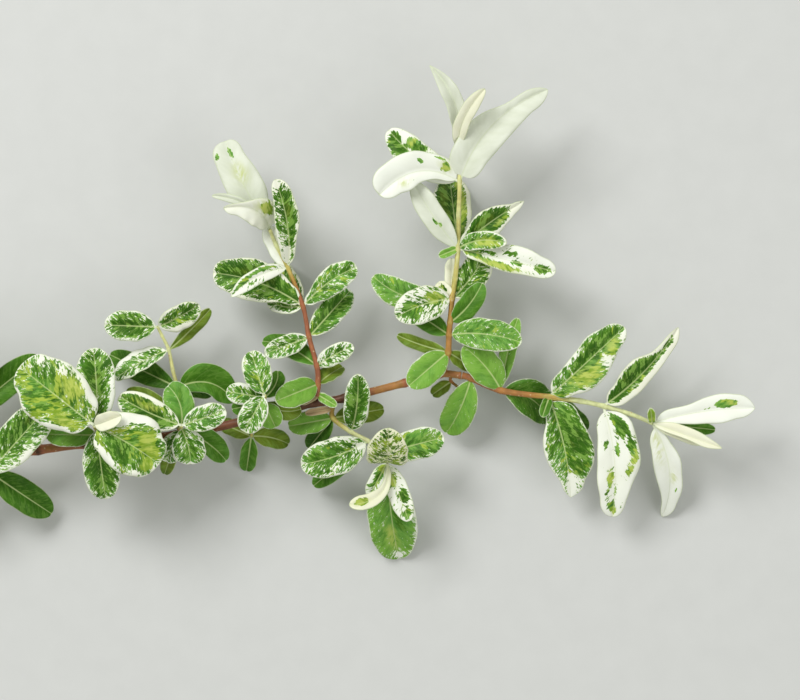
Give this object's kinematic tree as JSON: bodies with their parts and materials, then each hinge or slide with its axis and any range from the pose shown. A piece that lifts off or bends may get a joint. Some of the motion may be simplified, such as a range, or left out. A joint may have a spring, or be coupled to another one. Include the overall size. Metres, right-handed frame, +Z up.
{
  "type": "cut dappled willow branch",
  "caption": "Cut branch of dappled willow that lies on a surface, held up by its leaves: a thin woody stem with leafy side shoots of green, white-speckled and white leaves.",
  "frame": {"origin": "middle of the bounding box's bottom face, on the surface that the branch lies on", "axes": "+X along the branch from its cut end to its tip, +Z up, +Y towards the side that its two tall side shoots point to"},
  "size_m": [0.3332, 0.1973, 0.0509],
  "materials": {
    "bark": "thin red-brown willow bark, slightly glossy",
    "edge_upper_spray_leaves": "willow leaves with a thin waxy skin, green with white speckle and margins",
    "edge_lower_spray_leaves": "willow leaves with a thin waxy skin, green with white speckle and margins",
    "round_leaf_rosette_leaves": "willow leaves with a thin waxy skin, green with white speckle and margins",
    "small_upright_spray_leaves": "willow leaves with a thin waxy skin, green with white speckle and margins",
    "left_rosette_leaves": "willow leaves with a thin waxy skin, green with white speckle and margins",
    "middle_rosette_leaves": "willow leaves with a thin waxy skin, green with white speckle and margins",
    "low_spray_leaves": "willow leaves with a thin waxy skin, green with white speckle and margins",
    "inner_shoot_leaves": "willow leaves with a thin waxy skin, green with white speckle and margins",
    "tall_shoot_leaves": "willow leaves with a thin waxy skin, green with white speckle and margins",
    "fork_spray_leaves": "willow leaves with a thin waxy skin, green with white speckle and margins",
    "right_shoot_leaves": "willow leaves with a thin waxy skin, green with white speckle and margins",
    "front_shoot_leaves": "willow leaves with a thin waxy skin, green with white speckle and margins"
  },
  "bodies": {
    "root": {"main_stem": "bark", "edge_upper_spray": "edge_upper_spray_leaves", "edge_lower_spray": "edge_lower_spray_leaves", "round_leaf_rosette": "round_leaf_rosette_leaves", "small_upright_spray": "small_upright_spray_leaves", "left_rosette": "left_rosette_leaves", "middle_rosette": "middle_rosette_leaves", "low_spray": "low_spray_leaves", "inner_shoot": "inner_shoot_leaves", "tall_shoot": "tall_shoot_leaves", "fork_spray": "fork_spray_leaves", "right_shoot": "right_shoot_leaves", "front_shoot": "front_shoot_leaves"}
  },
  "joints": []
}
